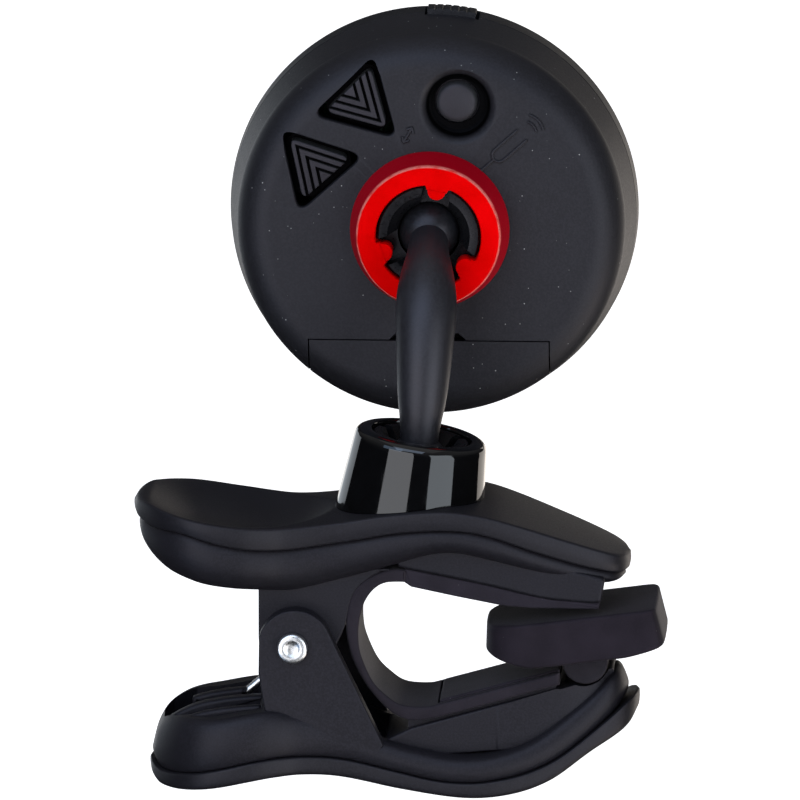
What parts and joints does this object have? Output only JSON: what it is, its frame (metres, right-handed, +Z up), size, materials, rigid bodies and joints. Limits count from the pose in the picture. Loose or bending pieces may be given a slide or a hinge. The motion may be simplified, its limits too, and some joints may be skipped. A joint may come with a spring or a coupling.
{
  "type": "clip on tuner",
  "caption": "Clip-on instrument tuner: round head on a double ball arm, over a sprung clip with a swivelling grip foot.",
  "frame": {"origin": "centre of the upper grip pad's flat face, which rests on the instrument's headstock", "axes": "+X towards the clip's open mouth, +Y towards the display side, +Z up along the height"},
  "size_m": [0.0584, 0.0377, 0.0811],
  "materials": {
    "jaw_cover": "soft matte black moulded plastic",
    "jaw_body": "matte black moulded plastic",
    "grip": "black soft rubber",
    "strip": "black soft rubber",
    "foot": "black soft rubber",
    "knuckle": "matte black moulded plastic",
    "steel": "bright steel",
    "gloss_black": "polished black",
    "socket": "satin black",
    "stem": "satin black",
    "ball": "satin black",
    "head_shell": "fine matte black texture",
    "bezel": "satin black",
    "lens": "smoked clear window",
    "lcd": "dark display glass",
    "diffuser": "pale light guide",
    "zebra": "conductive rubber strip",
    "board": "green solder mask",
    "piezo": "plain brass",
    "red_ring": "satin red",
    "buttons": "black rubber",
    "switches": "black"
  },
  "bodies": {
    "clip_upper": {"upper_jaw": "jaw_body", "upper_jaw_cover": "jaw_cover", "upper_grip_pad": "grip", "throat_strip": "strip", "hinge_pin": "steel", "torsion_spring": "steel", "socket_collar": "gloss_black", "lower_socket": "socket"},
    "clip_lower": {"lower_jaw": "jaw_body", "lower_jaw_cover": "jaw_cover", "lower_grip_pad": "grip", "foot_pin": "steel"},
    "foot": {"foot_pad": "foot", "foot_knuckle": "knuckle"},
    "arm_swivel": {"lower_ball": "ball"},
    "arm": {"stem": "stem"},
    "head_swivel": {"upper_ball": "ball"},
    "head": {"rear_shell": "head_shell", "front_bezel": "bezel", "display_lens": "lens", "lcd_panel": "lcd", "backlight": "diffuser", "zebra_connector": "zebra", "circuit_board": "board", "piezo_disc": "piezo", "battery": "steel", "contact_positive": "steel", "contact_negative": "steel", "clamp_ring": "red_ring", "socket_cup": "socket", "up_switch": "switches", "down_switch": "switches", "cal_switch": "switches", "power_switch": "switches", "board_screw_1": "steel", "board_screw_2": "steel", "board_screw_3": "steel", "board_screw_4": "steel"},
    "door": {"battery_door": "head_shell"},
    "up_key": {"up_button": "buttons"},
    "down_key": {"down_button": "buttons"},
    "cal_key": {"cal_button": "buttons"},
    "power_key": {"power_button": "bezel"}
  },
  "joints": [
    {"name": "jaw_hinge", "type": "hinge", "parent": "clip_upper", "child": "clip_lower", "pos_m": [-0.0175, 0, -0.00535], "axis": [0, 1, 0], "range_deg": [0, 30], "stiffness_Nm_per_rad": 0.12, "springref_deg": -51.57, "deforming": ["torsion_spring", "throat_strip"]},
    {"name": "foot_tilt", "type": "hinge", "parent": "clip_lower", "child": "foot", "pos_m": [0.0141, 0, -0.00735], "axis": [0, 1, 0], "range_deg": [-8, 10]},
    {"name": "stem_swivel", "type": "hinge", "parent": "clip_upper", "child": "arm_swivel", "pos_m": [-0.00435, 0, 0.01325], "axis": [0.1478, 0, 0.989], "continuous": true},
    {"name": "stem_tilt", "type": "hinge", "parent": "arm_swivel", "child": "arm", "pos_m": [-0.00435, 0, 0.01325], "axis": [1, 0, 0], "range_deg": [-18, 18]},
    {"name": "head_tilt", "type": "hinge", "parent": "arm", "child": "head_swivel", "pos_m": [-0.0036, 0.014, 0.0363], "axis": [1, 0, 0], "range_deg": [-3, 30]},
    {"name": "head_turn", "type": "hinge", "parent": "head_swivel", "child": "head", "pos_m": [-0.0036, 0.014, 0.0363], "axis": [0, -1, 0], "continuous": true},
    {"name": "door_slide", "type": "slide", "parent": "head", "child": "door", "axis": [0, 0, -1], "range_m": [0, 0.009]},
    {"name": "up_press", "type": "slide", "parent": "head", "child": "up_key", "axis": [0, 1, 0], "range_m": [0, 0.0005], "stiffness_N_per_m": 400, "springref_m": -0.0002},
    {"name": "down_press", "type": "slide", "parent": "head", "child": "down_key", "axis": [0, 1, 0], "range_m": [0, 0.0005], "stiffness_N_per_m": 400, "springref_m": -0.0002},
    {"name": "cal_press", "type": "slide", "parent": "head", "child": "cal_key", "axis": [0, 1, 0], "range_m": [0, 0.0005], "stiffness_N_per_m": 400, "springref_m": -0.0002},
    {"name": "power_press", "type": "slide", "parent": "head", "child": "power_key", "axis": [0, 0, -1], "range_m": [0, 0.0005], "stiffness_N_per_m": 400, "springref_m": -0.0002}
  ]
}
